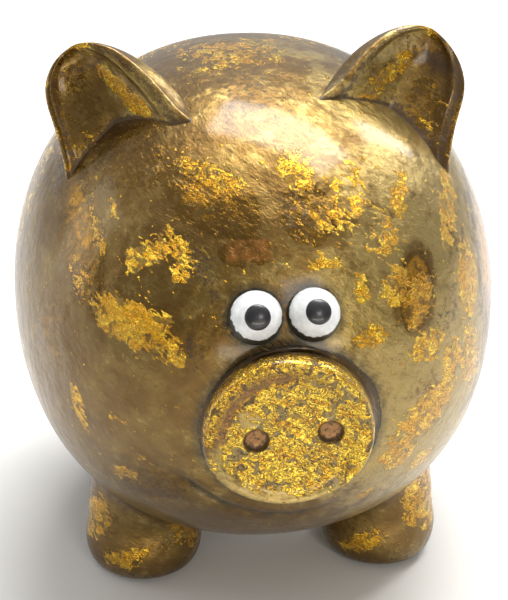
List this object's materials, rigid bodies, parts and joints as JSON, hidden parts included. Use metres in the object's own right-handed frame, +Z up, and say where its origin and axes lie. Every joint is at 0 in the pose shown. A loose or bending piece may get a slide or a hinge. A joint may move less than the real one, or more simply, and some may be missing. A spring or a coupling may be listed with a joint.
{
  "type": "standing pig money bank",
  "caption": "Round ceramic pig money bank in worn gold leaf, with painted eyes, a coin slot behind the crown and a soft stopper in the belly.",
  "frame": {"origin": "on the floor, under the middle of the whole bank", "axes": "+Z up; the pig faces -Y; +X is towards the pig's own left"},
  "size_m": [0.121, 0.1594, 0.1393],
  "materials": {
    "gold_leaf_body": "broken composition gold leaf over a champagne metallic ground, rubbed brown in the creases, glossy varnish",
    "gold_leaf_snout": "nearly whole gold leaf with crackle, red-brown pits, glossy varnish",
    "eye_white": "hand-painted white enamel, gloss",
    "pupil_black": "black enamel drop, high gloss",
    "stopper_rubber": "milky soft moulding, satin",
    "foot_felt": "pressed wool felt"
  },
  "bodies": {
    "bank": {"body_shell": "gold_leaf_body", "snout": "gold_leaf_snout", "tail": "gold_leaf_body", "ear_left": "gold_leaf_body", "ear_right": "gold_leaf_body", "leg_front_left": "gold_leaf_body", "leg_front_right": "gold_leaf_body", "leg_rear_left": "gold_leaf_body", "leg_rear_right": "gold_leaf_body", "eye_left": "eye_white", "eye_right": "eye_white", "pupil_left": "pupil_black", "pupil_right": "pupil_black", "foot_pad_front_left": "foot_felt", "foot_pad_front_right": "foot_felt", "foot_pad_rear_left": "foot_felt", "foot_pad_rear_right": "foot_felt"},
    "stopper": {"belly_stopper": "stopper_rubber"}
  },
  "joints": [
    {"name": "stopper_pull", "type": "slide", "parent": "bank", "child": "stopper", "axis": [0, 0, -1], "range_m": [0, 0.016]}
  ]
}
